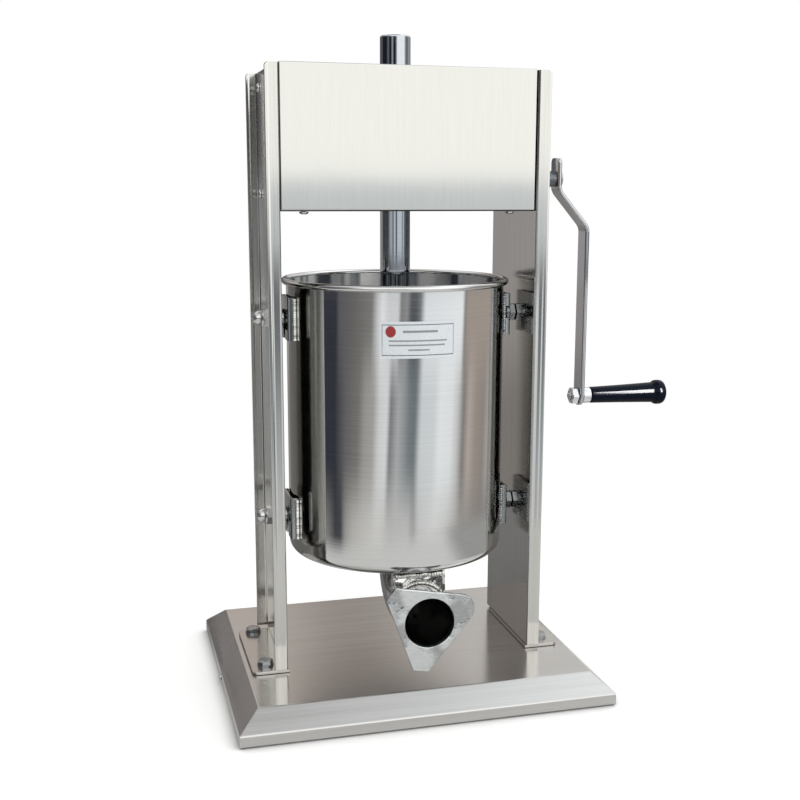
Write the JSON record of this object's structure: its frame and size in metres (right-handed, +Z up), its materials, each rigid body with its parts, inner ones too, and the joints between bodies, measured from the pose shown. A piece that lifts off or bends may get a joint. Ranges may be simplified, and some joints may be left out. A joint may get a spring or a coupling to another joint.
{
  "type": "sausage stuffer",
  "caption": "Manual vertical sausage stuffer in stainless steel: a side crank drives a toothed rod and piston down into a polished vessel with a bottom outlet.",
  "frame": {"origin": "bottom centre of the object's overall box, on the floor under its rubber feet", "axes": "+Z up, +X towards the crank's side, -Y towards the outlet and the user"},
  "size_m": [0.4906, 0.31, 0.6487],
  "materials": {
    "brushed_steel": "satin, fine horizontal or vertical grain",
    "polished_steel": "mirror polished",
    "chrome": "bright",
    "zinc_steel": "bright stainless fasteners",
    "gear_steel": "machined, lightly oiled",
    "bronze": "machined bearing bronze",
    "black_plastic": "glossy",
    "white_plastic": "matt food-grade plastic",
    "silicone": "matt",
    "rubber": "matt",
    "label": "satin film"
  },
  "bodies": {
    "frame": {"base_pan": "brushed_steel", "upright_left": "brushed_steel", "upright_right": "brushed_steel", "foot_plate_left": "brushed_steel", "foot_plate_right": "brushed_steel", "gearbox_cover": "brushed_steel", "gearbox_floor": "brushed_steel", "gearbox_roof": "brushed_steel", "lip_screw": "zinc_steel", "foot_bolt_lf": "zinc_steel", "foot_bolt_lr": "zinc_steel", "foot_bolt_rf": "zinc_steel", "foot_bolt_rr": "zinc_steel", "post_ul": "zinc_steel", "post_ll": "zinc_steel", "post_ur": "zinc_steel", "post_lr": "zinc_steel", "acorn_nut_ul": "zinc_steel", "acorn_nut_ll": "zinc_steel", "acorn_nut_ur": "zinc_steel", "acorn_nut_lr": "zinc_steel", "web_screw_ul": "zinc_steel", "web_screw_ll": "zinc_steel", "web_screw_ur": "zinc_steel", "web_screw_lr": "zinc_steel", "cover_screw_left": "zinc_steel", "cover_screw_right": "zinc_steel", "gear_plate_left": "gear_steel", "gear_plate_right": "gear_steel", "rod_bush_lower": "bronze", "rod_bush_upper": "bronze", "crank_bush": "bronze", "foot_fl": "rubber", "foot_fr": "rubber", "foot_bl": "rubber", "foot_br": "rubber"},
    "rack": {"rack_rod": "chrome", "piston_plate": "white_plastic", "piston_seal": "silicone", "piston_nut": "zinc_steel"},
    "air_valve": {"air_valve": "zinc_steel"},
    "pinion": {"pinion_shaft": "gear_steel", "drive_gear": "gear_steel"},
    "crank": {"crank_shaft": "zinc_steel", "crank_arm": "chrome", "crank_screw": "zinc_steel", "grip_bolt": "zinc_steel", "grip_ferrule": "chrome", "grip_nut": "chrome"},
    "grip": {"grip": "black_plastic"},
    "vessel": {"vessel": "polished_steel", "vessel_floor": "polished_steel", "outlet_elbow": "brushed_steel", "outlet_saddle": "brushed_steel", "outlet_flange": "brushed_steel", "bracket_ul": "brushed_steel", "bracket_ll": "brushed_steel", "bracket_ur": "brushed_steel", "bracket_lr": "brushed_steel", "label_plate": "label"}
  },
  "joints": [
    {"name": "rack_slide", "type": "slide", "parent": "frame", "child": "rack", "axis": [0, 0, 1], "range_m": [0, 0.262]},
    {"name": "pinion_spin", "type": "hinge", "parent": "frame", "child": "pinion", "pos_m": [-0.057, 0.028, 0.542], "axis": [1, 0, 0], "range_deg": [-1205, 5]},
    {"name": "crank_spin", "type": "hinge", "parent": "frame", "child": "crank", "pos_m": [0.1103, -0.002, 0.51261], "axis": [1, 0, 0], "range_deg": [-5, 4410]},
    {"name": "grip_spin", "type": "hinge", "parent": "crank", "child": "grip", "pos_m": [0.1425, -0.002, 0.2855], "axis": [1, 0, 0], "continuous": true},
    {"name": "vessel_lift", "type": "slide", "parent": "frame", "child": "vessel", "axis": [0, 0, 1], "range_m": [0, 0.026]},
    {"name": "air_valve_slide", "type": "slide", "parent": "rack", "child": "air_valve", "axis": [0, 0, 1], "range_m": [0, 0.004]}
  ],
  "couplings": [
    {"joint": "pinion_spin", "follows": "rack_slide", "rad_per_m": -80},
    {"joint": "crank_spin", "follows": "rack_slide", "rad_per_m": 293.33}
  ]
}
